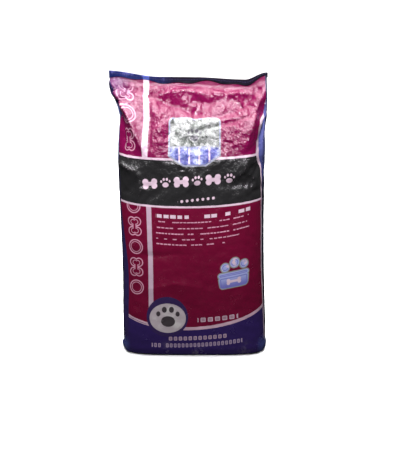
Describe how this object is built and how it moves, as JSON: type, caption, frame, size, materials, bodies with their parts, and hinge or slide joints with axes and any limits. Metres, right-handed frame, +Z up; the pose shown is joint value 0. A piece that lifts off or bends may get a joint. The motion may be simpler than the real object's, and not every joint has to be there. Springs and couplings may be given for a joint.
{
  "type": "pet food bag",
  "caption": "Filled side-gusseted woven sack of dry pet food, standing on its base, with a flat mouth bound in tape and chain stitched, and folded lower corners.",
  "frame": {"origin": "middle of the base, on the surface that the bag stands on", "axes": "+Z up to the mouth; the front faces -Y; the mouth seam runs along X"},
  "size_m": [0.4729, 0.1964, 0.8609],
  "materials": {
    "laminated_film": "printed glossy film laminated on woven polypropylene, crinkled where it is slack",
    "binding_tape": "satin navy binding tape",
    "sewing_thread": "navy spun polyester thread"
  },
  "bodies": {
    "root": {"bag_body": "laminated_film", "top_binding_tape": "binding_tape", "top_needle_thread": "sewing_thread", "top_looper_thread": "sewing_thread", "bottom_seam_thread": "sewing_thread"}
  },
  "joints": []
}
